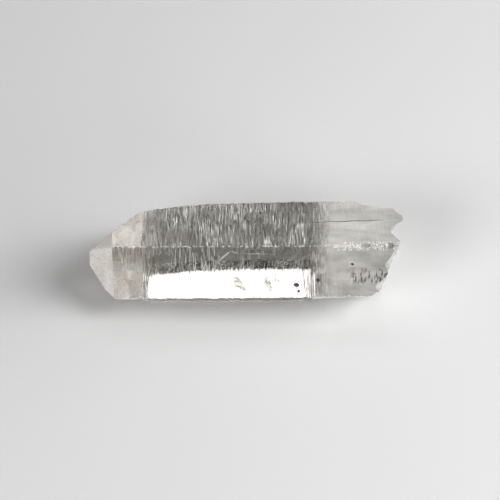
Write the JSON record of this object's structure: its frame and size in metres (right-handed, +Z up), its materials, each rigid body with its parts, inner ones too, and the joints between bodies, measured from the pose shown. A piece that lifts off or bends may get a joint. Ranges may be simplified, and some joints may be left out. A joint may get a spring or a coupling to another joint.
{
  "type": "lemurian quartz point",
  "caption": "Clear natural quartz point lying on a prism face, with ladder-like growth ledges, a chisel-shaped tip and a rough broken root.",
  "frame": {"origin": "bottom centre of the crystal's box, on the prism face that it lies on", "axes": "+X along the c axis from the point to the broken root, +Y across the crystal from its front ridge to its back, +Z up"},
  "size_m": [0.08, 0.029, 0.0223],
  "materials": {
    "quartz": "clear, faintly milky, finely ridged across the prism faces"
  },
  "bodies": {
    "root": {"quartz_point": "quartz"}
  },
  "joints": []
}
